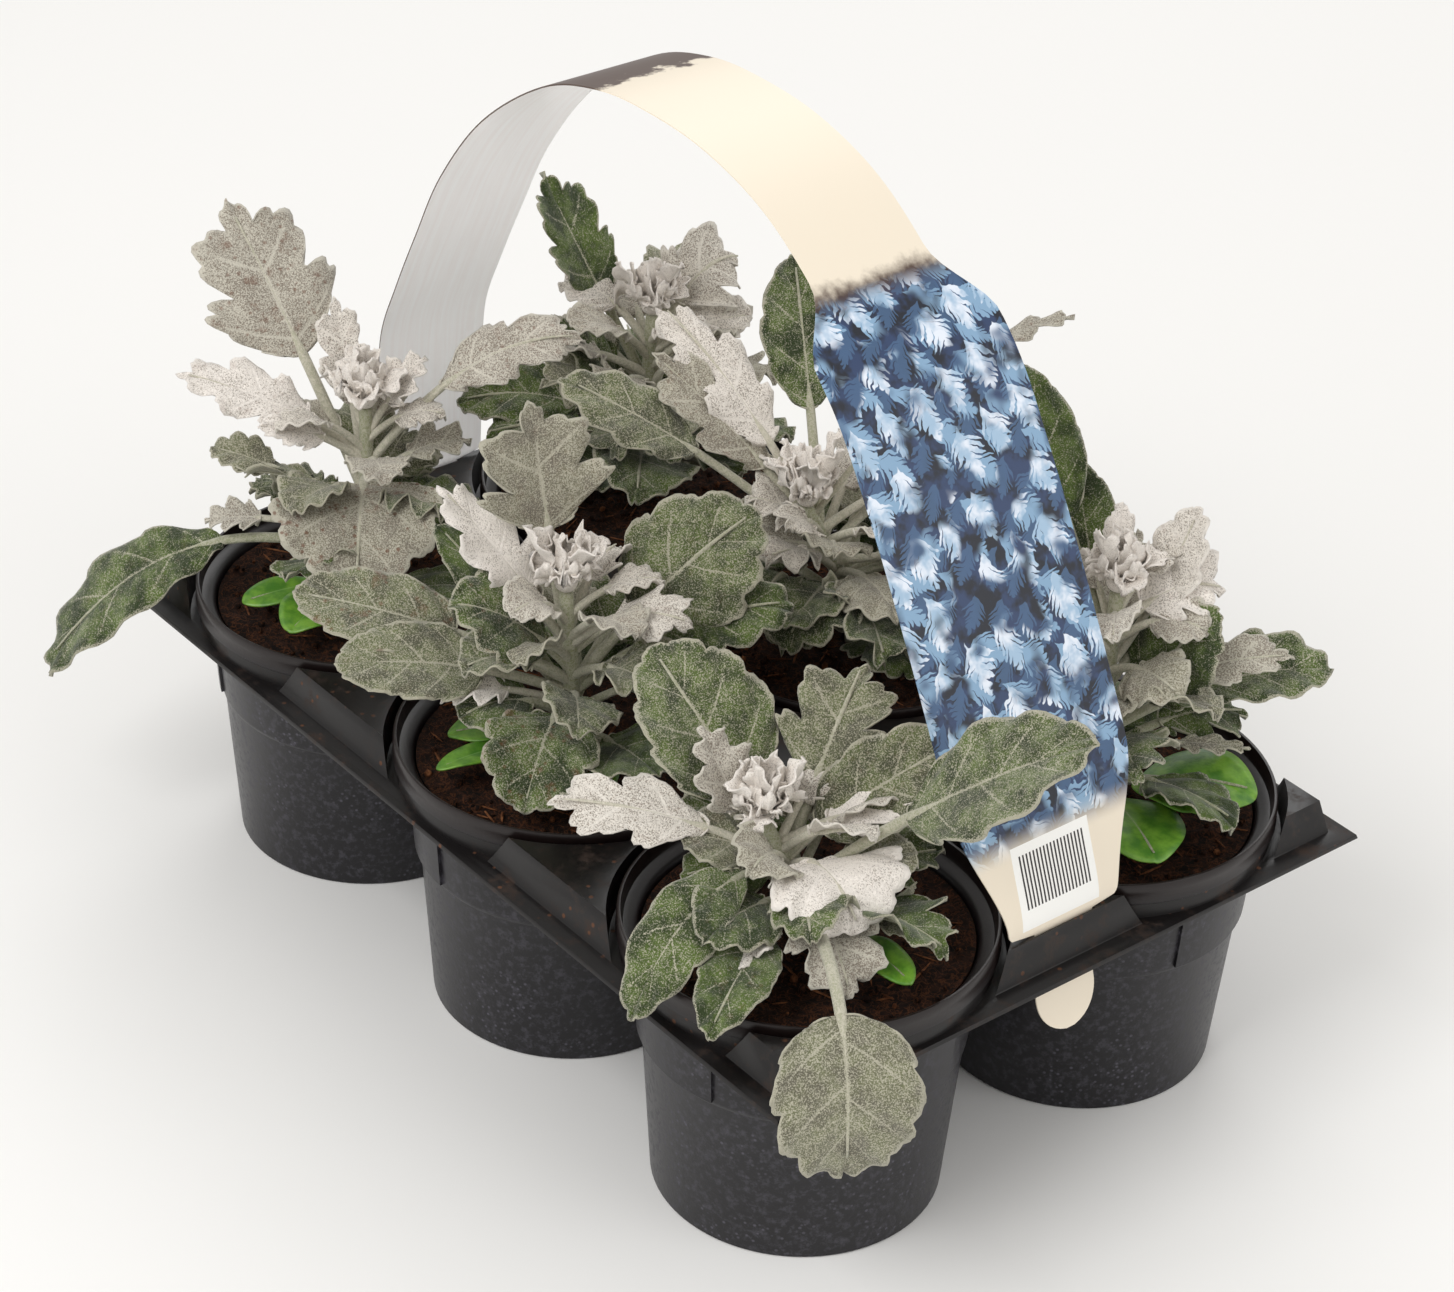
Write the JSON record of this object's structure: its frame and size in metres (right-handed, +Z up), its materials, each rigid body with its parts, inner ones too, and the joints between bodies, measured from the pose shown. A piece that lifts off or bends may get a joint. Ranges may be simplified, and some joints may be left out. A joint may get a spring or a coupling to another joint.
{
  "type": "dusty miller plants in a carry tray",
  "caption": "Potted dusty millers with silvery lobed leaves, standing in a black carry tray with a printed strip handle that arches over them.",
  "frame": {"origin": "on the floor, under the middle of the whole object's box, overhanging leaves included", "axes": "+Z up, +X along the side with three pots, the way the handle's label hangs; +Y across, from the near row of pots to the far row"},
  "size_m": [0.3632, 0.2584, 0.2774],
  "materials": {
    "tray": "black vacuum-formed sheet, satin, dusty",
    "pot": "black moulded plastic, satin, with pale water specks",
    "handle": "thin printed plastic strip, half gloss",
    "soil": "loose dark peat",
    "leaf": "green leaf under silver felt",
    "young_leaf": "white woolly young leaf"
  },
  "bodies": {
    "root": {"tray": "tray", "handle": "handle", "pot_1": "pot", "pot_2": "pot", "pot_3": "pot", "pot_4": "pot", "pot_5": "pot", "pot_6": "pot", "soil_1": "soil", "soil_2": "soil", "soil_3": "soil", "soil_4": "soil", "soil_5": "soil", "soil_6": "soil", "plant_1": "leaf", "plant_2": "leaf", "plant_3": "leaf", "plant_4": "leaf", "plant_5": "leaf", "plant_6": "leaf", "crown_1": "young_leaf", "crown_2": "young_leaf", "crown_3": "young_leaf", "crown_4": "young_leaf", "crown_5": "young_leaf", "crown_6": "young_leaf"}
  },
  "joints": []
}
